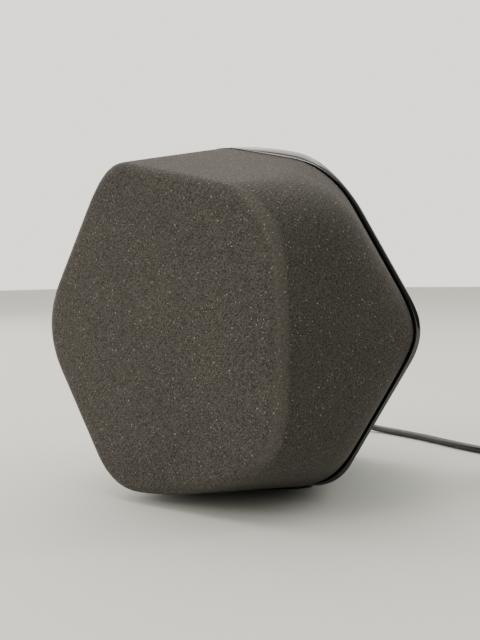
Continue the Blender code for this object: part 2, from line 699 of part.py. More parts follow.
def make_coil():
    """The spare length as one turned ring, the outer shape of its turns."""
    inside, outside = COIL_TURN_RADIUS - COIL_WIDTH / 2, COIL_TURN_RADIUS + COIL_WIDTH / 2
    low, high, soft = 0.2, COIL_HEIGHT, 3.0
    corners = [(outside - soft, high), (outside, high - soft), (outside, low + soft), (outside - soft, low)]
    corners += [(inside + soft, low), (inside, low + soft), (inside, high - soft), (inside + soft, high)]
    coil = turned("cord_coil", corners, (0, 0), RUBBER, 32)
    coil.rotation_euler = (0, 0, 0)
    coil.location = Vector(in_rim((*COIL_MIDDLE, 0))) * MM


def make_mains_plug():
    """A flat two-pin plug that lies on the standing surface, its pins to the front."""
    back_y = PLUG_BACK_Y - RELIEF_LENGTH - 2 * GAP
    front_y = back_y - PLUG_LENGTH
    shape = [((PLUG_WIDE, PLUG_TALL), front_y), ((PLUG_WIDE, PLUG_TALL), front_y + 8), ((14.0, 11.0), back_y)]
    points = []
    for (wide, tall), y in shape:
        points += [(PLUG_X + i * wide / 2, y, PLUG_AXIS_Z + j * tall / 2) for i in (-1, 1) for j in (-1, 1)]
    bm = hull_of([in_rim(point) for point in points])
    bmesh.ops.bevel(bm, geom=bm.edges[:], offset=2.0 * MM, segments=3, profile=0.5, affect="EDGES")
    smooth(add_object("mains_plug", finish_mesh("mains_plug", bm), RUBBER))
    for side in (-1, 1):
        place = (PLUG_X + side * PIN_SPREAD / 2, PLUG_AXIS_Z - AXIS_HEIGHT)
        tip, root = front_y - PIN_LENGTH - RIM_Y, front_y - GAP - RIM_Y
        rod(f"mains_pin_{'left' if side < 0 else 'right'}", 2.0, tip, root, place, BRASS, 16)
    start, end = PLUG_BACK_Y - RIM_Y, PLUG_BACK_Y - RELIEF_LENGTH - RIM_Y
    sleeve = [(0, start), (2.6, start), (4.8, end), (0, end)]
    turned("plug_relief", sleeve, (PLUG_X, PLUG_AXIS_Z - AXIS_HEIGHT), RUBBER, 24)


def make_lead():
    start_y, start_z = make_connector()
    lie = CORD_DIAMETER / 2 + 0.2
    reach = COIL_TURN_RADIUS + COIL_WIDTH / 2 + CORD_DIAMETER / 2 + GAP
    (coil_x, coil_y), x = COIL_MIDDLE, INLET_X
    there = [(x, start_y + GAP, start_z), (x, start_y + 7, start_z - 1), (x + 1, start_y + 14, start_z - 5)]
    there += [(x + 5, start_y + 21, start_z - 12), (x + 13, start_y + 25.5, start_z - 19)]
    there += [(x + 24, start_y + 27, lie + 1), (x + 38, start_y + 25, lie), (46, 120, lie), (66, 111.5, lie)]
    there += [(86, 104, lie), (110, 99.2, lie), (coil_x, coil_y + reach, lie)]
    tube("power_cord", there, RUBBER)
    tail = [(coil_x + reach, coil_y, lie), (coil_x + reach + 0.4, coil_y - 7, lie + 1.2)]
    tail += [(PLUG_X, coil_y - 14, PLUG_AXIS_Z - 1.2), (PLUG_X, PLUG_BACK_Y + 2 * GAP, PLUG_AXIS_Z)]
    tube("power_cord_tail", tail, RUBBER)
    make_coil()
    make_mains_plug()


# ---------------------------------------------------------------- the whole object


def make_object():
    panel = make_panel_frame()
    make_cover()
    make_trim()
    baffle = make_baffle()
    make_rear_shell(panel)
    make_foot()
    make_woofer(baffle)
    make_tweeter()
    make_microphone()
    make_port()
    make_controls(panel)
    make_sockets()
    make_electronics()
    make_lead()


make_object()
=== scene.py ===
"""The looks of a faceted tabletop speakerphone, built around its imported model.

The fabric cover, the gloss band and the back shell are convex skins: each is where a smooth maximum of plane
distances is zero, so that flat facets run into each other over soft edges. Points are in rim coordinates,
millimetres from the middle of the rim with X to the right, Y to the back and Z up, until they become a mesh.
"""

import json
import math

import bmesh
import bpy
import numpy as np
from mathutils import Matrix, Vector


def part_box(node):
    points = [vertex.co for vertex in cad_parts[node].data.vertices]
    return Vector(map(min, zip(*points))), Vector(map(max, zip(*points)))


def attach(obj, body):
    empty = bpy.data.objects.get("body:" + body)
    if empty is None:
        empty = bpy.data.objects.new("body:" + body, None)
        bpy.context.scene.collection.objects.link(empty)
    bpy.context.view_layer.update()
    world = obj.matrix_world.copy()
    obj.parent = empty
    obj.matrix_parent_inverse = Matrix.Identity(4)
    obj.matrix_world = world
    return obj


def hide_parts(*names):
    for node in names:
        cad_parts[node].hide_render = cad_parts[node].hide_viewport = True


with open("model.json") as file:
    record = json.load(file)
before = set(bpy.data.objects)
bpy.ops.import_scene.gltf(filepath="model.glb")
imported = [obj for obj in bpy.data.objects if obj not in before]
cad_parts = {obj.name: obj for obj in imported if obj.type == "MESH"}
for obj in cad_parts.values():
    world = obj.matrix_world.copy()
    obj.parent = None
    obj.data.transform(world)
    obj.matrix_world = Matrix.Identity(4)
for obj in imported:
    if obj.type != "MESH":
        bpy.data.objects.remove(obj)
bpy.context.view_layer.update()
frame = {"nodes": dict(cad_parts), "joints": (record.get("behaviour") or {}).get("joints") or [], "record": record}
MM = 0.001


def middle(node):
    low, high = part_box(node)
    return (Vector(low) + Vector(high)) / 2


RIM_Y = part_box("trim_ring")[0][1]
AXIS_Z = middle("baffle_screw_1").z
CENTRE = np.array([0.0, RIM_Y, AXIS_Z])

# The case's corners, in rim coordinates; a pair is (x, z)
FRONT_DEPTH = 56.5
REAR_DEPTH = 76.0
HALF_WIDTH = 86.5
SHOULDER = (43.0, 75.5)
CREST = (-20.5, 91.3)
FRONT_EDGE = (42.0, 53.5)
CHEEK = (61.7, -31.9, 58.0)
BAND_PEAK = (-20.5, 91.0)
BAND_KINK = (22.0, 86.0)
REAR_LEFT, REAR_RIGHT = -66.0, 64.0
REAR_TOP_LEFT = (-29.1, 64.0)
REAR_TOP_RIGHT = (31.7, 56.1)

# How far each facet swells in the middle of its front edge
CHEEK_SWELL = 3.2
TOP_SWELL = 0.2
UNDER_SWELL = 4.6
# How far the left-hand sides and the crest lean out at the front edge
FLARE_UP, FLARE_DOWN, FLARE_CREST = 3.4, 2.0, 2.8
# How wide the cover's creases are; the flanks' is a pair, at the rim and at the front edge
FLANK_ROUND = (7.5, 18.0)
CREST_ROUND = 8.0
UNDER_ROUND = 3.0
# How wide the front facet's crease is, and between which X it changes
FRONT_ROUND, FRONT_ROUND_X = (4.5, 3.8), (-50.0, 25.0)

# The band: how far it stands out all round and further on the right, and how deep it is
BAND_PROUD = 1.2
RIGHT_PROUD = 1.5
BAND_DEPTH = 3.4
BAND_KINK_ROUND, BAND_CREST_ROUND = 6.0, 10.0

# The shell: its front edge, how deep its facets start, and its slope as it leaves the band
SHELL_FRONT = 3.7
STRAIGHT_DEPTH = 4.2
SHELL_TAPER = 0.25
SHELL_KINK_ROUND, SHELL_CREST_ROUND, SHELL_BAND_ROUND, SHELL_BACK_ROUND = 6.0, 8.0, 1.5, 7.0


# ---------------------------------------------------------------- camera

LENS_MM = 52.5
SENSOR_MM = 36.0
CAMERA_PLACE = (0.1787, -0.3101, 0.1035)
CAMERA_PAN, CAMERA_TILT, CAMERA_ROLL = 31.68, 86.56, -0.73


def make_camera():
    data = bpy.data.cameras.new("camera")
    data.lens = LENS_MM
    data.sensor_fit = "HORIZONTAL"
    data.sensor_width = SENSOR_MM
    camera = bpy.data.objects.new("camera", data)
    bpy.context.scene.collection.objects.link(camera)
    pan, tilt, roll = (math.radians(angle) for angle in (CAMERA_PAN, CAMERA_TILT, CAMERA_ROLL))
    turn = Matrix.Rotation(pan, 4, "Z") @ Matrix.Rotation(tilt, 4, "X") @ Matrix.Rotation(roll, 4, "Z")
    camera.matrix_world = Matrix.Translation(CAMERA_PLACE) @ turn
    bpy.context.scene.camera = camera


# ---------------------------------------------------------------- node helpers


class Shader:
    """A material's node tree, with short ways to add nodes and join them."""

    def __init__(self, name):
        self.material = bpy.data.materials.new(name)
        self.material.use_nodes = True
        self.tree = self.material.node_tree
        self.surface = self.tree.nodes["Principled BSDF"]

    def node(self, kind, **settings):
        made = self.tree.nodes.new(kind)
        for key, value in settings.items():
            setattr(made, key, value)
        return made

    def join(self, source, target):
        self.tree.links.new(source, target)

    def coordinates(self, kind="Object"):
        return self.node("ShaderNodeTexCoord").outputs[kind]

    def stretched(self, vector, scale, turn=(0, 0, 0)):
        mapping = self.node("ShaderNodeMapping")
        self.join(vector, mapping.inputs["Vector"])
        mapping.inputs["Scale"].default_value = scale
        mapping.inputs["Rotation"].default_value = turn
        return mapping.outputs["Vector"]

    def noise(self, vector, scale, detail=2.0, roughness=0.5):
        made = self.node("ShaderNodeTexNoise")
        made.inputs["Scale"].default_value = scale
        made.inputs["Detail"].default_value = detail
        made.inputs["Roughness"].default_value = roughness
        self.join(vector, made.inputs["Vector"])
        return made.outputs["Fac"]

    def span(self, value, low, high, to_low=0.0, to_high=1.0):
        made = self.node("ShaderNodeMapRange")
        self.join(value, made.inputs["Value"])
        for key, number in (("From Min", low), ("From Max", high), ("To Min", to_low), ("To Max", to_high)):
            made.inputs[key].default_value = number
        return made.outputs["Result"]

    def maths(self, operation, first, second):
        made = self.node("ShaderNodeMath", operation=operation)
        for value, socket in zip((first, second), made.inputs):
            if isinstance(value, (int, float)):
                socket.default_value = value
            else:
                self.join(value, socket)
        return made.outputs[0]

    def mix(self, factor, first, second):
        made = self.node("ShaderNodeMix", data_type="RGBA")
        self.join(factor, made.inputs["Factor"])
        for value, socket in ((first, made.inputs[6]), (second, made.inputs[7])):
            if isinstance(value, tuple):
                socket.default_value = (*value, 1.0)
            else:
                self.join(value, socket)
        return made.outputs[2]

    def red(self, colour):
        split = self.node("ShaderNodeSeparateColor")
        self.join(colour, split.inputs[0])
        return split.outputs[0]

    def blend(self, kind, factor, first, second):
        """Blends a second colour into the first; it and the factor are each a constant or an output."""
        made = self.node("ShaderNodeMix", data_type="RGBA", blend_type=kind)
        if isinstance(factor, float):
            made.inputs["Factor"].default_value = factor
        else:
            self.join(factor, made.inputs["Factor"])
        self.join(first, made.inputs[6])
        if isinstance(second, tuple):
            made.inputs[7].default_value = (*second, 1.0)
        else:
            self.join(second, made.inputs[7])
        return made.outputs[2]

    def bump(self, height, distance, strength):
        made = self.node("ShaderNodeBump")
        made.inputs["Distance"].default_value = distance
        made.inputs["Strength"].default_value = strength
        self.join(height, made.inputs["Height"])
        return made.outputs["Normal"]

    def finish(self, colour, roughness, normal=None, **sockets):
        """Fills the shader's sockets; the roughness is a constant or an output."""
        self.join(colour, self.surface.inputs["Base Color"])
        if isinstance(roughness, float):
            self.surface.inputs["Roughness"].default_value = roughness
        else:
            self.join(roughness, self.surface.inputs["Roughness"])
        if normal:
            self.join(normal, self.surface.inputs["Normal"])
        for name, value in sockets.items():
            self.surface.inputs[name.replace("_", " ")].default_value = value
        return self.material


# ---------------------------------------------------------------- materials

THREAD_PITCH = 0.0009
# A wave texture's bands are 2 pi / 20 apart at a scale of 1, and these are two threads apart
WAVE_SCALE = 1 / THREAD_PITCH / 20 * math.pi
WEAVE_TURN = 40
GRAIN_SCALE, PATCH_SCALE = 1700, 22
YARN_COLOURS = ((0.019, 0.0175, 0.0155), (0.098, 0.091, 0.081))
PATCH_TONES = ((0.84, 0.85, 0.83), (1.0, 0.98, 0.965))
# Painted light: the colour added to the fabric along the front facet's right crease
RIDGE_LIGHT_COLOUR = (0.027, 0.0255, 0.022)
# Each size of fleck: cells in a metre, the share of cells without one, and its radius in a cell
FLECKS = ((620, 0.92, 0.20), (1150, 0.89, 0.28))
FLECK_COLOUR, FLECK_COVER = (0.40, 0.37, 0.33), 0.7
WEAVE_HEIGHT = 0.6
WEAVE_DEPTH = 0.00022


def fabric_material():
    """A fine weave of dark warm grey yarns, each a little lighter or darker, with scattered pale flecks.

    Along a strip beside the front facet's right edge, a vertex attribute adds painted light: the fabric is a
    little lighter there, as a painted highlight on the crease.
    """
    s = Shader("speckled_fabric")
    uv, place = s.coordinates("UV"), s.coordinates()
    turned = s.stretched(uv, (1, 1, 1), (0, 0, math.radians(WEAVE_TURN)))
    waves = []
    for way in ("X", "Y"):
        wave = s.node("ShaderNodeTexWave", wave_type="BANDS", bands_direction=way, wave_profile="SIN")
        wave.inputs["Scale"].default_value = WAVE_SCALE
        wave.inputs["Distortion"].default_value = 0.6
        wave.inputs["Detail"].default_value = 1.0
        s.join(turned, wave.inputs["Vector"])
        waves.append(wave.outputs["Fac"])
    weave = s.maths("MULTIPLY", *waves)
    grain = s.noise(place, GRAIN_SCALE, 3.0, 0.75)
    patches = s.noise(place, PATCH_SCALE, 3.0, 0.6)
    yarn = s.mix(s.span(grain, 0.36, 0.64), *YARN_COLOURS)
    tone = s.mix(s.span(patches, 0.3, 0.7), *PATCH_TONES)
    toned = s.blend("MULTIPLY", 1.0, yarn, tone)
    # A painted highlight: the fabric is lightened along the front facet's right crease
    ridge_light = s.node("ShaderNodeAttribute", attribute_name="painted_ridge_light").outputs["Fac"]
    lit_fabric = s.blend("ADD", ridge_light, toned, RIDGE_LIGHT_COLOUR)
    flecks = None
    for scale, plain, radius in FLECKS:
        cells = s.node("ShaderNodeTexVoronoi", feature="F1")
        cells.inputs["Scale"].default_value = scale
        s.join(s.stretched(place, (1.0, 1.0, 0.8), (0.5, 0.3, 0.2)), cells.inputs["Vector"])
        spot = s.span(cells.outputs["Distance"], radius, radius * 0.5)
        chosen = s.span(s.red(cells.outputs["Color"]), plain, plain + 0.03)
        here = s.maths("MULTIPLY", spot, chosen)
        flecks = here if flecks is None else s.maths("MAXIMUM", flecks, here)
    colour = s.mix(s.maths("MULTIPLY", flecks, FLECK_COVER), lit_fabric, FLECK_COLOUR)
    threads, fuzz = (s.maths("MULTIPLY", height, WEAVE_HEIGHT) for height in (weave, grain))
    normal = s.bump(s.maths("ADD", threads, fuzz), WEAVE_DEPTH, 0.9)
    return s.finish(colour, 0.93, normal, Sheen_Weight=0.06, Sheen_Roughness=0.45,
                    Sheen_Tint=(0.9, 0.87, 0.84, 1.0), Specular_IOR_Level=0.18)


def gloss_material():
    """Polished black plastic with a trace of haze and orange peel."""
    s = Shader("polished_black")
    place = s.coordinates()
    haze = s.span(s.noise(place, 60, 4.0, 0.6), 0.35, 0.75, 0.045, 0.13)
    colour = s.mix(s.noise(place, 35, 2.0), (0.008, 0.008, 0.009), (0.014, 0.014, 0.015))
    normal = s.bump(s.noise(place, 300, 1.0), 0.00001, 0.3)
    return s.finish(colour, haze, normal, Specular_IOR_Level=0.6, Coat_Weight=0.6, Coat_Roughness=0.04)


def moulded_material(name, dark, light, roughness, grain=2200, depth=0.00006):
    """Plastic or rubber with a fine spark-eroded texture and slight shading."""
    s = Shader(name)
    place = s.coordinates()
    colour = s.mix(s.noise(place, 90, 3.0, 0.6), dark, light)
    rough = s.span(s.noise(place, 400, 2.0), 0.3, 0.7, roughness - 0.07, min(1.0, roughness + 0.07))
    return s.finish(colour, rough, s.bump(s.noise(place, grain, 2.0), depth, 0.6), Specular_IOR_Level=0.4)


def metal_material(name, dark, light, roughness, streak=(60, 60, 1200)):
    """Metal with fine streaks along one way."""
    s = Shader(name)
    place = s.coordinates()
    lines = s.noise(s.stretched(place, streak), 1.0, 3.0, 0.6)
    colour = s.mix(s.noise(place, 70, 3.0), dark, light)
    rough = s.span(lines, 0.3, 0.7, roughness - 0.08, roughness + 0.1)
    return s.finish(colour, rough, s.bump(lines, 0.00002, 0.4), Metallic=1.0)


def board_material():
    """Green solder mask over straight tracks, with dots of bare copper."""
    s = Shader("circuit_board")
    place = s.coordinates()
    bricks = s.node("ShaderNodeTexBrick")
    s.join(s.stretched(place, (1, 1, 1), (math.pi / 2, 0, 0)), bricks.inputs["Vector"])
    bricks.inputs["Scale"].default_value = 260
    bricks.inputs["Mortar Size"].default_value = 0.06
    bricks.inputs["Color1"].default_value = (0.012, 0.10, 0.04, 1)
    bricks.inputs["Color2"].default_value = (0.016, 0.13, 0.05, 1)
    bricks.inputs["Mortar"].default_value = (0.03, 0.22, 0.08, 1)
    dots = s.node("ShaderNodeTexVoronoi")
    dots.inputs["Scale"].default_value = 240
    s.join(place, dots.inputs["Vector"])
    bare = s.span(dots.outputs["Distance"], 0.16, 0.12)
    colour = s.mix(bare, bricks.outputs["Color"], (0.62, 0.45, 0.18))
    return s.finish(colour, 0.38, s.bump(bricks.outputs["Fac"], 0.00004, 0.5), Specular_IOR_Level=0.5)


def jacket_material():
    """A smooth black cord jacket with a soft shine."""
    s = Shader("cord_jacket")
    place = s.coordinates()
    colour = s.mix(s.noise(place, 120, 2.0), (0.010, 0.010, 0.011), (0.022, 0.022, 0.023))
    rough = s.span(s.noise(place, 260, 2.0), 0.3, 0.7, 0.26, 0.40)
    return s.finish(colour, rough, s.bump(s.noise(place, 700, 1.0), 0.00003, 0.3), Specular_IOR_Level=0.55)


def mark_material():
    """Pale printed marks on the buttons."""
    s = Shader("printed_mark")
    colour = s.mix(s.noise(s.coordinates(), 500, 2.0), (0.42, 0.42, 0.42), (0.55, 0.55, 0.54))
    return s.finish(colour, 0.5)


def floor_material():
    """A plain pale matt floor."""
    s = Shader("floor")
    place = s.coordinates()
    colour = s.mix(s.noise(place, 3, 3.0), (0.52, 0.535, 0.495), (0.56, 0.575, 0.535))
    return s.finish(colour, 0.75, s.bump(s.noise(place, 220, 2.0), 0.00008, 0.3), Specular_IOR_Level=0.2)


# ---------------------------------------------------------------- skins: smooth maxima of plane distances


def plane(a, b, c):
    """(unit normal, distance) of the plane through three points, facing away from the rim's middle."""
    a, b, c = (np.array(point, float) for point in (a, b, c))
    normal = np.cross(b - a, c - a)
    normal /= np.linalg.norm(normal)
    distance = normal @ a
    return (normal, distance) if distance > 0 else (-normal, -distance)


def side_plane(a, b, proud=0.0):
    """The plane through two (x, z) points that stands square to the rim, moved out by proud."""
    normal, distance = plane((a[0], 0, a[1]), (b[0], 0, b[1]), (b[0], 9, b[1]))
    return normal, distance + proud


def outside(points, facet):
    """How far the points are outside a plane."""
    normal, distance = facet
    return points @ normal - distance


def soften(first, second, width):
    """A smooth maximum: away from the crease it is the greater one, and the crease is width wide."""
    near = np.clip(width - np.abs(first - second), 0.0, None) / width
    return np.maximum(first, second) + near**2 * width / 4


def outline_planes(proud):
    """The case's sides as named planes that stand square to the rim, moved out by proud."""
    across, up = SHOULDER
    corners = {
        "right_up": ((HALF_WIDTH, 0), (across, up)),
        "right_down": ((HALF_WIDTH, 0), (across, -up)),
        "crest": (CREST, (-across, up)),
        "left_up": ((-HALF_WIDTH, 0), (-across, up)),
        "left_down": ((-HALF_WIDTH, 0), (-across, -up)),
        "bottom": ((-across, -up), (across, -up)),
        "top": (CREST, (across, up)),
    }
    return {name: side_plane(a, b, proud) for name, (a, b) in corners.items()}


def to_sides(points, proud):
    """How far the points are outside each side of the case."""
    return {name: outside(points, facet) for name, facet in outline_planes(proud).items()}


# How wide the creases between the sides are; a pair is at the left and at the right corner of that side
LEFT_ROUND, RIGHT_ROUND = 13.0, 14.0
LOW_ROUND, TOP_ROUND = (14.0, 14.0), (9.0, 16.0)
CORNERS_X = (-40.0, 40.0)
# How much wider they are at the front edge: at the left, the low right and the top right
FRONT_LEFT, FRONT_LOW, FRONT_TOP = 9.0, 3.0, 9.0


def forward(points):
    """How far in front of the rim the points are: 0 at the rim and 1 at the front facet."""
    return np.clip(-points[:, 1] / FRONT_DEPTH, 0, 1)


def round_outline(points, left_up, left_down, right, low, high):
    """The sides of the case run into each other; low and high meet both the left and the right."""
    x, depth = points[:, 0], forward(points)
    wide = depth * np.clip(x / CORNERS_X[1], 0, 1)
    low_round = np.interp(x, CORNERS_X, LOW_ROUND) + FRONT_LOW * wide
    high_round = np.interp(x, CORNERS_X, TOP_ROUND) + FRONT_TOP * wide
    sides = np.maximum(soften(left_up, left_down, LEFT_ROUND + FRONT_LEFT * depth), right)
    return soften(soften(sides, low, low_round), high, high_round)


def swell(points, size, along, half):
    """A facet's bulge: greatest in the middle of its front edge, none at the rim or half a width away."""
    depth = np.clip(-points[:, 1] / FRONT_DEPTH, 0, 1.1)
    across = np.clip(along / half, -1.3, 1.3)
    return size * depth * (1 - across**2)


def cover_field(points):
    """The fabric cover: a flat front, a swollen cheek, top and underside, and left sides that lean out."""
    (across, up), (edge_x, edge_z) = SHOULDER, FRONT_EDGE
    x, y, z = points.T
    depth = forward(points)
    corner = (HALF_WIDTH, 0, 0)
    side = to_sides(points, 0)
    cheek = plane((edge_x, -FRONT_DEPTH, edge_z), (edge_x, -FRONT_DEPTH, -edge_z), corner)
    right = outside(points, cheek) - swell(points, CHEEK_SWELL, z, edge_z)
    flank_round = FLANK_ROUND[0] + (FLANK_ROUND[1] - FLANK_ROUND[0]) * depth
    for way in (-1, 1):
        flank = plane((across, 0, way * up), (CHEEK[0], CHEEK[1], way * CHEEK[2]), corner)
        right = soften(right, outside(points, flank), flank_round)
    top = plane((across, 0, up), (CREST[0], 0, CREST[1]), (-across, -FRONT_DEPTH, up + FLARE_CREST))
    high = outside(points, top) - swell(points, TOP_SWELL, x, edge_x)
    high = soften(high, side["crest"] - FLARE_CREST * depth, CREST_ROUND)
    under = plane((across, 0, -up), (-across, -FRONT_DEPTH, -up), (edge_x, -FRONT_DEPTH, -edge_z))
    low = outside(points, under) - swell(points, UNDER_SWELL, x, edge_x)
    low = soften(side["bottom"], low, UNDER_ROUND)
    left_up = side["left_up"] - FLARE_UP * depth
    left_down = side["left_down"] - FLARE_DOWN * depth
    body = round_outline(points, left_up, left_down, right, low, high)
    return soften(body, -y - FRONT_DEPTH, np.interp(x, FRONT_ROUND_X, FRONT_ROUND))


def band_field(points):
    """The gloss band's outline: it stands proud of the cover and has one more corner, the kink."""
    side = to_sides(points, BAND_PROUD)
    shoulder = [value + BAND_PROUD for value in SHOULDER]
    top = outside(points, side_plane(BAND_KINK, BAND_PEAK))
    turn = outside(points, side_plane(shoulder, BAND_KINK))
    high = soften(soften(top, turn, BAND_KINK_ROUND), side["crest"], BAND_CREST_ROUND)
    right = soften(side["right_up"], side["right_down"], RIGHT_ROUND) - RIGHT_PROUD
    return round_outline(points, side["left_up"], side["left_down"], right, side["bottom"], high)


def shell_field(points):
    """The back shell: it leaves the band at a slight slope and then tapers to a smaller back face."""
    y0, y1, proud = STRAIGHT_DEPTH, REAR_DEPTH, BAND_PROUD
    across, up = SHOULDER
    left, right = (REAR_LEFT, y1, 0), (REAR_RIGHT, y1, 0)
    edge = HALF_WIDTH + proud / math.cos(math.radians(30))
    top_left, top_right = (REAR_TOP_LEFT[0], y1, REAR_TOP_LEFT[1]), (REAR_TOP_RIGHT[0], y1, REAR_TOP_RIGHT[1])
    crest = (BAND_PEAK[0], y0, BAND_PEAK[1])
    kink = (BAND_KINK[0], y0, BAND_KINK[1])
    low_x, high_x = across + proud * 0.58, across + proud * 0.66
    reach_z = up + proud
    facets = {
        "right_up": plane((edge, y0, 0), (high_x, y0, reach_z), right),
        "right_down": plane((edge, y0, 0), (low_x, y0, -reach_z), right),
        "left_up": plane((-edge, y0, 0), (-high_x, y0, reach_z), left),
        "left_down": plane((-edge, y0, 0), (-low_x, y0, -reach_z), left),
        "turn": plane((high_x, y0, reach_z), kink, top_right),
        "top": plane(kink, crest, top_left),
        "crest": plane(crest, (-high_x, y0, reach_z), top_left),
        "bottom": plane((-low_x, y0, -reach_z), (low_x, y0, -reach_z), (0, y1, -reach_z)),
    }
    side = {name: outside(points, facet) for name, facet in facets.items()}
    high = soften(side["top"], side["turn"], SHELL_KINK_ROUND)
    high = soften(high, side["crest"], SHELL_CREST_ROUND)
    right_side = soften(side["right_up"], side["right_down"], RIGHT_ROUND)
    body = round_outline(points, side["left_up"], side["left_down"], right_side, side["bottom"], high)
    body = soften(body, band_field(points) + SHELL_TAPER * points[:, 1], SHELL_BAND_ROUND)
    return soften(body, points[:, 1] - REAR_DEPTH, SHELL_BACK_ROUND)


COLUMNS = 360
FURTHEST = 160.0
HALVINGS = 34
FRONT, BACK = -1, 1


def reach(field, start, ways):
    """How far each way from the start lies the field's zero, found by halving."""
    low, high = np.zeros(len(ways)), np.full(len(ways), FURTHEST)
    for _ in range(HALVINGS):
        half = (low + high) / 2
        inside = field(start + ways * half[:, None]) < 0
        low, high = np.where(inside, half, low), np.where(inside, high, half)
    return (low + high) / 2


def ring_ways():
    """The ways from the rim's middle through each column of a ring."""
    angles = np.linspace(0, 2 * math.pi, COLUMNS, endpoint=False)
    return np.stack([np.cos(angles), np.zeros(COLUMNS), np.sin(angles)], axis=1)


def dome_rings(field, y, facing, rows):
    """Rings from the field's outline at y over to the pole, and the pole; facing is FRONT or BACK."""
    around, start = ring_ways(), np.array([0.0, y, 0.0])
    rings = []
    for row in range(rows):
        lift = math.pi / 2 * row / rows
        ways = around * math.cos(lift) + np.array([0.0, facing * math.sin(lift), 0.0])
        rings.append(start + ways * reach(field, start, ways)[:, None])
    pole = np.array([[0.0, facing, 0.0]])
    return rings, (start + pole * reach(field, start, pole)[:, None])[0]


def edge_rings(field, y, steps):
    """Rings beside the field's outline at y: each step is (radius added, way to the back)."""
    start, ways = np.array([0.0, y, 0.0]), ring_ways()
    edge = reach(field, start, ways)
    back = np.array([0.0, 1.0, 0.0])
    return [start + ways * (edge + out)[:, None] + back * along for out, along in steps]


# ---------------------------------------------------------------- meshes

WELD_REACH = 1e-6
SHARP_ANGLE = math.radians(35)


def to_world(points):
    return np.asarray(points) * MM + CENTRE


def link(name, mesh, material, body, replaced=()):
    """One piece of the scene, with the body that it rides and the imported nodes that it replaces."""
    piece = bpy.data.objects.new(name, mesh)
    bpy.context.scene.collection.objects.link(piece)
    piece.data.materials.append(material)
    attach(piece, body)
    if replaced:
        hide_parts(*replaced)
    return piece


def ring_mesh(name, rings, pole=None, closed=False):
    """A mesh through rings of world points: a pole closes the last ring, and closed joins it to the first."""
    bm = bmesh.new()
    rows = [[bm.verts.new(point) for point in ring] for ring in rings]
    pairs = list(zip(rows, rows[1:]))
    if closed:
        pairs.append((rows[-1], rows[0]))
    for low, high in pairs:
        count = len(low)
        for i in range(count):
            j = (i + 1) % count
            bm.faces.new((low[i], low[j], high[j], high[i]))
    if pole is not None:
        tip, last = bm.verts.new(pole), rows[-1]
        for i in range(len(last)):
            bm.faces.new((last[i], last[(i + 1) % len(last)], tip))
    bmesh.ops.recalc_face_normals(bm, faces=bm.faces)
    heart = sum((vert.co for vert in bm.verts), Vector()) / len(bm.verts)
    if sum(face.normal.dot(face.calc_center_median() - heart) * face.calc_area() for face in bm.faces) < 0:
        bmesh.ops.reverse_faces(bm, faces=bm.faces)
    mesh = bpy.data.meshes.new(name)
    bm.to_mesh(mesh)
    bm.free()
    mesh.shade_smooth()
    return mesh


def apply_modifiers(piece):
    """Leaves the piece as the plain mesh that its modifiers make."""
    graph = bpy.context.evaluated_depsgraph_get()
    made = bpy.data.meshes.new_from_object(piece.evaluated_get(graph))
    piece.modifiers.clear()
    piece.data = made


def map_weave(mesh):
    """UVs in metres: each face is laid flat along the nearest of 26 ways, so the weave keeps its scale."""
    steps = (-1, 0, 1)
    ways = [Vector((x, y, z)).normalized() for x in steps for y in steps for z in steps if x or y or z]
    layer = mesh.uv_layers.new(name="weave")
    for face in mesh.polygons:
        way = max(ways, key=face.normal.dot)
        across = Vector((0, 0, 1)).cross(way)
        across = across.normalized() if across.length > 0.1 else Vector((1, 0, 0))
        up = way.cross(across)
        for loop in face.loop_indices:
            place = mesh.vertices[mesh.loops[loop].vertex_index].co
            layer.data[loop].uv = (place.dot(across), place.dot(up))


def ramp(value, start, length):
    """0 up to the start, then rising to 1 over the length."""
    return np.clip((value - start) / length, 0, 1)


def map_painted_ridge_light(mesh):
    """How much painted light the fabric gets, 0 to 1 at each vertex: a painted highlight in a strip beside the
    front facet's right edge.
    """
    points = (np.array([vert.co for vert in mesh.vertices]) - CENTRE) / MM
    x, y, z = points.T
    behind = y + FRONT_DEPTH
    near = ramp(behind, RIDGE_LIGHT_START, 0.7) * ramp(-behind, -RIDGE_LIGHT_END, 1.4)
    side = ramp(x, RIDGE_LIGHT_LEFT, RIDGE_LIGHT_FADE) * ramp(z, RIDGE_LIGHT_LOW, RIDGE_LIGHT_FADE)
    layer = mesh.attributes.new("painted_ridge_light", "FLOAT", "POINT")
    layer.data.foreach_set("value", (near * side).astype(np.float32))


def add_wall(piece, thick):
    """Thickens a skin inwards."""
    wall = piece.modifiers.new("wall", "SOLIDIFY")
    wall.thickness = thick * MM
    wall.offset = -1.0
    wall.use_even_offset = False


def polish(piece, width):
    """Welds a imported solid's split corners and gives its edges a small soft radius."""
    weld = piece.modifiers.new("weld", "WELD")
    weld.merge_threshold = WELD_REACH
    edge = piece.modifiers.new("soft_edge", "BEVEL")
    edge.width = width * MM
    edge.segments = 2
    edge.limit_method = "ANGLE"
    edge.angle_limit = SHARP_ANGLE
    edge.harden_normals = False
    piece.data.shade_smooth()
    piece.data.set_sharp_from_angle(angle=SHARP_ANGLE)


# ---------------------------------------------------------------- case

COVER_ROWS = 130
SHELL_ROWS = 120
COVER_BACK = -0.3
CLOTH_THICK = 1.0
HEM_STEPS = ((-1.6, 0.0), (-0.8, 0.0), (-0.25, -0.25), (0.0, -0.8))
SHELL_WALL = 2.4
SHELL_LIP = ((-3.0, 0.0), (-0.5, 0.0), (-0.14, 0.14), (0.0, 0.5))

# The strip of painted light beside the front facet's right crease: its start and end behind the front facet, its
# left and low ends, and their fade
RIDGE_LIGHT_START, RIDGE_LIGHT_END = 0.1, 4.6
RIDGE_LIGHT_LEFT, RIDGE_LIGHT_LOW = 18, -64
RIDGE_LIGHT_FADE = 14

# How deep under the cloth the cover's frame has to stay, and how it is cut up and moved for that
FRAME_UNDER = -3.6
FRAME_CUTS, FRAME_EDGE = 3, 5
FRAME_MOVES, FRAME_SHARE = 3, 0.6
SLOPE_STEP = 0.05

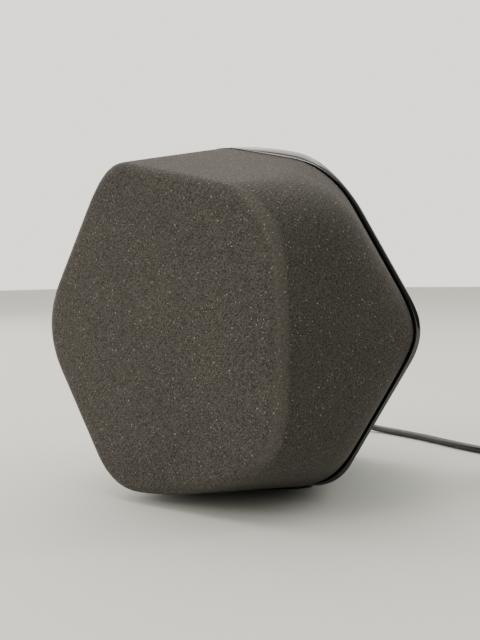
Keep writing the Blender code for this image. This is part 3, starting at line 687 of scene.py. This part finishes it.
# The band's section: its inner wall, the groove beside the cloth, and a crowned face that falls back to its
# outer edge, little on the sides and much at the top. BAND_TURN is how steeply a way goes where that changes.
BAND_INNER = 4.0
BAND_GROOVE, BAND_GROOVE_SHARE = 0.35, 0.25
BAND_TURN = (0.80, 0.93)
BAND_FALL = (0.35, 2.4)
BAND_BEND = (4.0, 1.2)
BAND_CROWN = 1.9
BAND_STEPS = 17
# The back of the band's outer edge, as (radius, depth) from its outline and its back
BAND_HEEL = ((-0.6, -0.4), (-0.75, -0.12), (-1.0, 0.0))


def make_cover(material):
    """The cloth, from its turned-in hem at the band over to the middle of the front facet."""
    rings, pole = dome_rings(cover_field, COVER_BACK, FRONT, COVER_ROWS)
    rings = edge_rings(cover_field, COVER_BACK, HEM_STEPS) + rings[1:]
    mesh = ring_mesh("fabric_cover_cloth", [to_world(ring) for ring in rings], to_world(pole))
    map_weave(mesh)
    # Paints light into a strip of the cloth along the front facet's right crease
    map_painted_ridge_light(mesh)
    cloth = link("fabric_cover_cloth", mesh, material, "case", ["fabric_cover"])
    add_wall(cloth, CLOTH_THICK)
    apply_modifiers(cloth)


def fit_frame(material):
    """The cover's plastic frame, eased inwards wherever the rounded cloth would lie deeper than it."""
    bm = bmesh.new()
    bm.from_mesh(frame["nodes"]["cover_frame"].data)
    bmesh.ops.transform(bm, matrix=frame["nodes"]["cover_frame"].matrix_world, verts=bm.verts)
    bmesh.ops.remove_doubles(bm, verts=bm.verts, dist=WELD_REACH)
    for _ in range(FRAME_CUTS):
        long = [edge for edge in bm.edges if edge.calc_length() > FRAME_EDGE * MM]
        bmesh.ops.subdivide_edges(bm, edges=long, cuts=1)
        bmesh.ops.triangulate(bm, faces=bm.faces)
    points = (np.array([vert.co for vert in bm.verts]) - CENTRE) / MM
    step = np.eye(3) * SLOPE_STEP
    for _ in range(FRAME_MOVES):
        depth = cover_field(points)
        slope = np.stack([cover_field(points + way) - depth for way in step], axis=1)
        slope /= np.linalg.norm(slope, axis=1, keepdims=True)
        points -= slope * np.clip(depth - FRAME_UNDER, 0, None)[:, None] * FRAME_SHARE
    for vert, point in zip(bm.verts, to_world(points)):
        vert.co = point
    mesh = bpy.data.meshes.new("fitted_frame")
    bm.to_mesh(mesh)
    bm.free()
    mesh.shade_smooth()
    mesh.set_sharp_from_angle(angle=SHARP_ANGLE)
    link("fitted_frame", mesh, material, "case", ["cover_frame"])


def make_band(material):
    """The gloss band between the cloth and the shell: a section of (radius, depth), swept round the rim."""
    ways, back = ring_ways(), np.array([0.0, 1.0, 0.0])
    inner = reach(cover_field, np.array([0.0, COVER_BACK, 0.0]), ways)
    outer = reach(band_field, np.zeros(3), ways)
    face = inner + np.minimum(BAND_GROOVE, BAND_GROOVE_SHARE * (outer - inner))
    width = np.maximum(outer - face, 0.4)
    fall = np.interp(ways[:, 2], BAND_TURN, BAND_FALL)
    bend = np.interp(ways[:, 2], BAND_TURN, BAND_BEND)
    section = [(inner - BAND_INNER, 1.0), (inner + 0.05, 1.0), (face - 0.1, 0.8), (face - 0.05, 0.1)]
    for part in np.linspace(0, 1, BAND_STEPS):
        crown = BAND_CROWN * part * (1 - part)
        section.append((face + width * part, fall * part**bend - crown))
    section += [(outer + out, BAND_DEPTH + along) for out, along in BAND_HEEL]
    section.append((inner - BAND_INNER, BAND_DEPTH))
    rings = []
    for far, deep in section:
        rings.append(to_world(ways * far[:, None] + np.outer(np.broadcast_to(deep, COLUMNS), back)))
    mesh = ring_mesh("gloss_band", rings, closed=True)
    mesh.set_sharp_from_angle(angle=math.radians(50))
    link("gloss_band", mesh, material, "case", ["trim_ring"])


def cutter(bm, matrix):
    """A passing piece for the shell's openings to be cut with."""
    mesh = bpy.data.meshes.new("cutter")
    bm.to_mesh(mesh)
    bm.free()
    piece = bpy.data.objects.new("cutter", mesh)
    bpy.context.scene.collection.objects.link(piece)
    piece.matrix_world = matrix
    return piece


def upright_block(size, corner, segments):
    """A box in millimetres with rounded upright corners, its middle at its origin, still as a bmesh."""
    bm = bmesh.new()
    bmesh.ops.create_cube(bm, size=1.0)
    bmesh.ops.scale(bm, vec=Vector(size) * MM, verts=bm.verts)
    upright = [edge for edge in bm.edges if abs(edge.verts[0].co.z - edge.verts[1].co.z) > 1e-6]
    bmesh.ops.bevel(bm, geom=upright, offset=corner * MM, segments=segments, profile=0.5, affect="EDGES")
    return bm


def box_cutter(wide, high, deep, matrix):
    """A cutter for something this wide and high, with a gap all round it."""
    size = (wide + 2 * SLOT_GAP, high + 2 * SLOT_GAP, deep)
    return cutter(upright_block(size, SLOT_CORNER, 4), matrix)


def rod_cutter(radius, deep, matrix):
    """A cutter for something round, with a gap all round it."""
    bm = bmesh.new()
    radius = (radius + SLOT_GAP) * MM
    bmesh.ops.create_cone(bm, cap_ends=True, segments=96, radius1=radius, radius2=radius, depth=deep * MM)
    return cutter(bm, matrix)


PANEL_THICK = 2.4
PANEL_SIZE = (38.0, 13.0)
SLOT_GAP = 0.2
SLOT_CORNER = 0.8
BACK_CUT, PANEL_CUT = 30, 12


def panel_matrix():
    """The control panel's place: its Z is square to the top facet, and its X runs along the buttons."""
    press = next(joint for joint in frame["joints"] if joint["name"] == "power_button_press")
    normal = -Vector(press["axis"])
    across = Vector((normal.z, 0, -normal.x)).normalized()
    turn = Matrix((across, normal.cross(across), normal)).transposed().to_4x4()
    return Matrix.Translation(middle("control_panel") + normal * PANEL_THICK / 2 * MM) @ turn


def make_shell(material):
    """The back shell with its three openings: for the port, the sockets and the control panel."""
    rings, pole = dome_rings(shell_field, SHELL_FRONT, BACK, SHELL_ROWS)
    rings = edge_rings(shell_field, SHELL_FRONT, SHELL_LIP) + rings[1:]
    mesh = ring_mesh("back_shell", [to_world(ring) for ring in rings], to_world(pole))
    shell = link("back_shell", mesh, material, "case", ["rear_shell"])
    add_wall(shell, SHELL_WALL)
    back = Matrix.Rotation(math.pi / 2, 4, "X")
    port, port_back = middle("port_tube"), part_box("port_tube")[1][1]
    wide, _, high = [(b - a) / MM for a, b in zip(*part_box("socket_plate"))]
    cutters = [
        rod_cutter(PORT_FLARE, BACK_CUT, Matrix.Translation((port.x, port_back, port.z)) @ back),
        box_cutter(wide, high, BACK_CUT, Matrix.Translation(middle("socket_plate")) @ back),
        box_cutter(*PANEL_SIZE, PANEL_CUT, panel_matrix()),
    ]
    for each in cutters:
        opening = shell.modifiers.new("opening", "BOOLEAN")
        opening.operation = "DIFFERENCE"
        opening.object = each
    bpy.context.view_layer.update()
    apply_modifiers(shell)
    for each in cutters:
        bpy.data.objects.remove(each)
    shell.data.shade_smooth()
    shell.data.set_sharp_from_angle(angle=math.radians(40))


LATHE_STEPS = 96
PORT_RADIUS = 11.0
PORT_WALL = 1.8
PORT_FLARE = 16.0
PORT_LIP = 1.2
PORT_LENGTHENED = 1.7


def lathe(name, profile, matrix):
    """A closed mesh: a profile of (radius, height) in millimetres, turned about the matrix's Z."""
    turn = np.linspace(0, 2 * math.pi, LATHE_STEPS, endpoint=False)
    rings = []
    for radius, height in profile:
        far, high = radius * MM, height * MM
        rings.append([matrix @ Vector((far * math.cos(a), far * math.sin(a), high)) for a in turn])
    mesh = ring_mesh(name, rings, closed=True)
    mesh.set_sharp_from_angle(angle=math.radians(40))
    return mesh


def make_port(material):
    """The reflex port: a straight tube that flares to the back face over a quarter ellipse."""
    low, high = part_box("port_tube")
    length = (high[1] - low[1]) / MM
    flare, wall = PORT_FLARE - PORT_RADIUS - PORT_LIP, PORT_RADIUS + PORT_WALL
    profile = [(wall, length), (wall, 6.0), (PORT_FLARE, 2.6), (PORT_FLARE, 0.35)]
    profile += [(PORT_FLARE - 0.12, 0.1), (PORT_FLARE - 0.4, 0.0)]
    for a in np.linspace(0, math.pi / 2, 13)[::-1]:
        far = PORT_RADIUS + flare * (1 - math.cos(a))
        profile.append((far, flare * PORT_LENGTHENED * (1 - math.sin(a))))
    profile.append((PORT_RADIUS, length))
    at = Matrix.Translation(((low[0] + high[0]) / 2, high[1], (low[2] + high[2]) / 2))
    mesh = lathe("port_flare", profile, at @ Matrix.Rotation(math.pi / 2, 4, "X"))
    link("port_flare", mesh, material, "case", ["port_tube"])


# ---------------------------------------------------------------- controls

BUTTONS = ("volume_down_button", "volume_up_button", "connect_button", "power_button")
BUTTON_SIZE = (7.4, 7.0)
BUTTON_PROUD = 0.6
BUTTON_TALL = 3.6
BUTTON_CORNER, BUTTON_EDGE, BUTTON_CROWN = 1.2, 0.45, 0.12
MARK_RADIUS = 0.16
MARK_LIFT = 0.05
DASH = 1.3
RING, RING_APART = 0.9, 0.8
ARC, ARC_GAP = 1.25, 0.7


def mark_strokes(name):
    """The generic mark on a button, as strokes of (x, y) in millimetres."""
    level, stem = [(-DASH, 0), (DASH, 0)], [(0, -DASH), (0, DASH)]
    if name == "volume_down_button":
        return [level]
    if name == "volume_up_button":
        return [level, stem]
    if name == "connect_button":
        ring = [(RING * math.cos(a), RING * math.sin(a)) for a in np.linspace(0, 2 * math.pi, 30)]
        return [[(x + shift, y) for x, y in ring] for shift in (-RING_APART, RING_APART)]
    turns = np.linspace(ARC_GAP, 2 * math.pi - ARC_GAP, 28)
    return [[(ARC * math.sin(a), ARC * math.cos(a)) for a in turns], [(0, 0.35), (0, 1.6)]]


def button_cap():
    """A cap with rounded upright corners, a soft rim and a slightly crowned top, its middle at its origin."""
    bm = upright_block((*BUTTON_SIZE, BUTTON_TALL), BUTTON_CORNER, 6)
    top = max(vert.co.z for vert in bm.verts)
    rim = [edge for edge in bm.edges if all(abs(vert.co.z - top) < 1e-7 for vert in edge.verts)]
    bmesh.ops.bevel(bm, geom=rim, offset=BUTTON_EDGE * MM, segments=4, profile=0.5, affect="EDGES")
    lid = max(bm.faces, key=lambda face: face.calc_center_median().z)
    bmesh.ops.poke(bm, faces=[lid])["verts"][0].co.z += BUTTON_CROWN * MM
    mesh = bpy.data.meshes.new("block")
    bm.to_mesh(mesh)
    bm.free()
    mesh.shade_smooth()
    mesh.set_sharp_from_angle(angle=math.radians(32))
    return mesh


def make_buttons(gloss, mark):
    """The four caps in their panel, with their marks lying on top of them."""
    panel = panel_matrix()
    for name in BUTTONS:
        x, y, _ = panel.inverted() @ middle(name)
        mesh = button_cap()
        mesh.transform(panel @ Matrix.Translation((x, y, (BUTTON_PROUD - BUTTON_TALL / 2) * MM)))
        link(name + "_cap", mesh, gloss, name, [name])
        high = (BUTTON_PROUD + MARK_LIFT) * MM
        for k, stroke in enumerate(mark_strokes(name)):
            points = [panel @ Vector((x + across * MM, y + up * MM, high)) for across, up in stroke]
            line = tube(f"{name}_mark_{k + 1}", points, MARK_RADIUS * 2, mark, 2)
            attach(line, name)


def tube(name, points, diameter, material, resolution):
    """A round bar through world points, as a curve; its diameter is in millimetres."""
    curve = bpy.data.curves.new(name, "CURVE")
    curve.dimensions = "3D"
    curve.bevel_depth = diameter / 2 * MM
    curve.bevel_resolution = resolution
    curve.use_fill_caps = True
    spline = curve.splines.new("POLY")
    spline.points.add(len(points) - 1)
    for item, point in zip(spline.points, points):
        item.co = (*point, 1.0)
    spline.use_smooth = True
    piece = bpy.data.objects.new(name, curve)
    bpy.context.scene.collection.objects.link(piece)
    curve.materials.append(material)
    return piece


# ---------------------------------------------------------------- mains lead

CORD_DIAMETER = 4.2
COIL_MIDDLE = (134.0, 66.0)
TURN_RADIUS = 23.0
TURN_PITCH = 4.3
TURNS_WIDE = 3
TURNS_HIGH = 4
POINTS_A_TURN = 30
CORD_LIE = CORD_DIAMETER / 2 + 0.2
ROUTE_SPACING = 3.0
# Shares of a turn: where the lead starts to move over to the next one, and how soon it is in and out
MOVE_FROM, TAKE_UP, COME_DOWN = 0.78, 0.17, 0.55
# The lead's way down from the connector, as steps from its end; then its way over the floor to the coil
LEAD_DROP = ((0, 0.3, 0), (0, 7, -1), (1, 14, -5), (5, 21, -12), (13, 25.5, -19))
LEAD_FLOOR = ((46, 120), (66, 111.5), (86, 104), (110, 99.2))


def smooth_step(value):
    """0 up to 0, then easing to 1 at 1."""
    value = min(max(value, 0.0), 1.0)
    return value * value * (3 - 2 * value)


def smooth_route(points):
    """Points along a smooth curve through the given ones, about evenly spaced."""
    route = [Vector(point) for point in points]
    ends = [2 * route[0] - route[1], *route, 2 * route[-1] - route[-2]]
    found = [route[0]]
    for a, b, c, d in zip(ends, ends[1:], ends[2:], ends[3:]):
        steps = max(1, round((c - b).length / ROUTE_SPACING))
        for i in range(1, steps + 1):
            t = i / steps
            curve = 2 * b + (c - a) * t + (2 * a - 5 * b + 4 * c - d) * t**2 + (3 * b - a - 3 * c + d) * t**3
            found.append(curve / 2)
    return found


def coil_points(arrive):
    """Turns from the north of the coil, clockwise: out to in, up a layer, in to out, and down at the east."""
    (x, y), count = COIL_MIDDLE, TURNS_WIDE * TURNS_HIGH
    slots = []
    for layer in range(TURNS_HIGH):
        row = [TURN_RADIUS + TURN_PITCH * (k - (TURNS_WIDE - 1) / 2) for k in range(TURNS_WIDE)]
        for radius in reversed(row) if layer % 2 == 0 else row:
            slots.append((radius, CORD_LIE + TURN_PITCH * layer))
    found = []
    for i, (radius, height) in enumerate(slots):
        after = slots[min(i + 1, count - 1)]
        for k in range(POINTS_A_TURN):
            turned = k / POINTS_A_TURN
            part = smooth_step((turned - MOVE_FROM) / (1 - MOVE_FROM))
            far, high = radius + (after[0] - radius) * part, height + (after[1] - height) * part
            if i == 0:
                far += (arrive - radius) * (1 - smooth_step(turned / TAKE_UP))
            angle = math.pi / 2 - 2 * math.pi * turned
            found.append((x + far * math.cos(angle), y + far * math.sin(angle), high))
    radius, height = slots[-1]
    for k in range(POINTS_A_TURN // 4):
        part = k / (POINTS_A_TURN / 4)
        far = radius + (arrive - radius) * smooth_step(part / COME_DOWN)
        high = height + (CORD_LIE - height) * smooth_step(part)
        angle = math.pi / 2 * (1 - part)
        found.append((x + far * math.cos(angle), y + far * math.sin(angle), high))
    return found


def make_cord(material):
    """The lead from its connector down to the floor, round the coil and on to its plug."""
    x, _, z = (value / MM for value in middle("connector_relief"))
    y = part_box("connector_relief")[1][1] / MM
    plug_x, _, plug_z = (value / MM for value in middle("plug_relief"))
    plug_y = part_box("plug_relief")[1][1] / MM
    coil_x, coil_y = COIL_MIDDLE
    arrive = TURN_RADIUS + TURN_PITCH * TURNS_WIDE / 2 + CORD_DIAMETER / 2 + 0.45
    there = [(x + right, y + back, z + up) for right, back, up in LEAD_DROP]
    there += [(x + 24, y + 27, CORD_LIE + 1), (x + 38, y + 25, CORD_LIE)]
    there += [(floor_x, floor_y, CORD_LIE) for floor_x, floor_y in LEAD_FLOOR]
    there.append((coil_x - 5, coil_y + arrive, CORD_LIE))
    tail = [(coil_x + arrive, coil_y, CORD_LIE), (coil_x + arrive + 0.4, coil_y - 7, CORD_LIE + 1.2)]
    tail += [(plug_x, coil_y - 14, plug_z - 1.2), (plug_x, plug_y + 0.4, plug_z)]
    route = smooth_route(there) + [Vector(point) for point in coil_points(arrive)] + smooth_route(tail)
    route = [Vector((p.x, p.y, max(p.z, CORD_LIE))) * MM for p in route]
    cord = tube("mains_cord", route, CORD_DIAMETER, material, 6)
    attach(cord, "case")
    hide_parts("power_cord", "cord_coil", "power_cord_tail")


# ---------------------------------------------------------------- carried-over parts

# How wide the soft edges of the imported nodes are
SOFT_EDGE = 0.12
SOFT_EDGES = {
    "control_panel": 0.2,
    "lead_connector": 0.4,
    "base_foot": 0.5,
    "socket_plate": 0.2,
    "mains_plug": 0.4,
    "heatsink": 0.15,
}


def dress_nodes(looks):
    """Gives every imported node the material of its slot, and a soft edge if it still shows."""
    slots = {row["node"]: row["material_slot"] for row in frame["record"]["subparts"]}
    for name, node in frame["nodes"].items():
        node.data.materials.clear()
        node.data.materials.append(looks[slots[name]])
        if not node.hide_render:
            polish(node, SOFT_EDGES.get(name, SOFT_EDGE))


# ---------------------------------------------------------------- studio

FLOOR_SIZE = 6.0
# The room is palest towards ROOM_WAY; ROOM_SPAN is where along it the change starts and ends
ROOM_WAY = (-0.55, 0.72, 0.42)
ROOM_SPAN = (-0.9, 0.75)
ROOM_DARK, ROOM_PALE = (0.03, 0.037, 0.033, 1), (1.75, 1.70, 1.56, 1)
# Each light's name, place, aim, size, power and colour
LIGHTS = (
    ("ceiling", (-0.5, 0.1, 1.9), (0, 0, 0.08), (1.6, 1.6), 27, (1.0, 0.925, 0.895)),
    ("window", (-1.15, -1.5, 0.76), (0, 0, 0.08), (1.2, 1.5), 28, (1.0, 0.905, 0.855)),
    ("left_wall", (-1.5, 0.05, 0.65), (0, 0, 0.1), (1.0, 1.4), 14, (1.0, 0.99, 0.96)),
    ("far_strip", (0.9, 0.75, 0.9), (0.05, 0, 0.1), (0.15, 1.2), 5, (1.0, 1.0, 1.0)),
)


def make_light(name, place, aim, size, power, colour):
    data = bpy.data.lights.new(name, "AREA")
    data.shape = "RECTANGLE"
    data.size, data.size_y = size
    data.energy = power
    data.color = colour
    light = bpy.data.objects.new(name, data)
    bpy.context.scene.collection.objects.link(light)
    light.location = place
    light.rotation_euler = (Vector(aim) - Vector(place)).to_track_quat("-Z", "Y").to_euler()


def make_world():
    """A pale room that is brighter behind the object and to its left than in front of it on the right."""
    world = bpy.data.worlds.new("room")
    bpy.context.scene.world = world
    world.use_nodes = True
    tree = world.node_tree
    way = tree.nodes.new("ShaderNodeTexCoord").outputs["Generated"]
    along = tree.nodes.new("ShaderNodeVectorMath")
    along.operation = "DOT_PRODUCT"
    along.inputs[1].default_value = ROOM_WAY
    tree.links.new(way, along.inputs[0])
    spread = tree.nodes.new("ShaderNodeMapRange")
    spread.interpolation_type = "SMOOTHSTEP"
    spread.inputs["From Min"].default_value, spread.inputs["From Max"].default_value = ROOM_SPAN
    tree.links.new(along.outputs["Value"], spread.inputs["Value"])
    mix = tree.nodes.new("ShaderNodeMix")
    mix.data_type = "RGBA"
    mix.inputs[6].default_value = ROOM_DARK
    mix.inputs[7].default_value = ROOM_PALE
    tree.links.new(spread.outputs["Result"], mix.inputs["Factor"])
    tree.links.new(mix.outputs[2], tree.nodes["Background"].inputs["Color"])


def make_floor(material):
    bm = bmesh.new()
    bmesh.ops.create_grid(bm, x_segments=1, y_segments=1, size=FLOOR_SIZE)
    mesh = bpy.data.meshes.new("floor")
    bm.to_mesh(mesh)
    bm.free()
    floor = bpy.data.objects.new("floor", mesh)
    bpy.context.scene.collection.objects.link(floor)
    mesh.materials.append(material)


# ---------------------------------------------------------------- the whole scene

# Each slot's material: its name, dark and light colours, roughness, and then any grain and depth of its own
MOULDED = {
    "matte_plastic": ("moulded_plastic", (0.022, 0.022, 0.022), (0.034, 0.034, 0.035), 0.55),
    "rubber": ("soft_rubber", (0.014, 0.014, 0.014), (0.024, 0.024, 0.024), 0.8, 1400, 0.00009),
    "cone_paper": ("coated_paper", (0.035, 0.035, 0.038), (0.062, 0.06, 0.06), 0.85, 900, 0.0002),
    "ferrite": ("ferrite", (0.06, 0.06, 0.065), (0.10, 0.10, 0.105), 0.6, 1200, 0.0001),
    "silk": ("coated_silk", (0.07, 0.07, 0.08), (0.11, 0.11, 0.12), 0.5, 2600, 0.00008),
}
METALS = {
    "steel": ("zinc_plated_steel", (0.50, 0.50, 0.49), (0.62, 0.62, 0.60), 0.36),
    "aluminium": ("aluminium", (0.70, 0.71, 0.72), (0.80, 0.81, 0.82), 0.4, (1200, 60, 60)),
    "plated_brass": ("nickel_plated_brass", (0.68, 0.64, 0.56), (0.78, 0.74, 0.66), 0.24),
}


def make_looks():
    """Every material by its slot."""
    looks = {slot: moulded_material(*values) for slot, values in MOULDED.items()}
    looks.update({slot: metal_material(*values) for slot, values in METALS.items()})
    looks["fabric"] = fabric_material()
    looks["gloss_shell"] = gloss_material()
    looks["cord_rubber"] = jacket_material()
    looks["circuit_board"] = board_material()
    looks["light_lens"] = mark_material()
    return looks


def make_scene():
    make_camera()
    looks = make_looks()
    gloss, plastic = looks["gloss_shell"], looks["matte_plastic"]
    make_cover(looks["fabric"])
    fit_frame(plastic)
    make_band(gloss)
    make_shell(gloss)
    make_port(plastic)
    make_buttons(gloss, looks["light_lens"])
    make_cord(looks["cord_rubber"])
    dress_nodes(looks)
    make_floor(floor_material())
    make_world()
    for light in LIGHTS:
        make_light(*light)


make_scene()
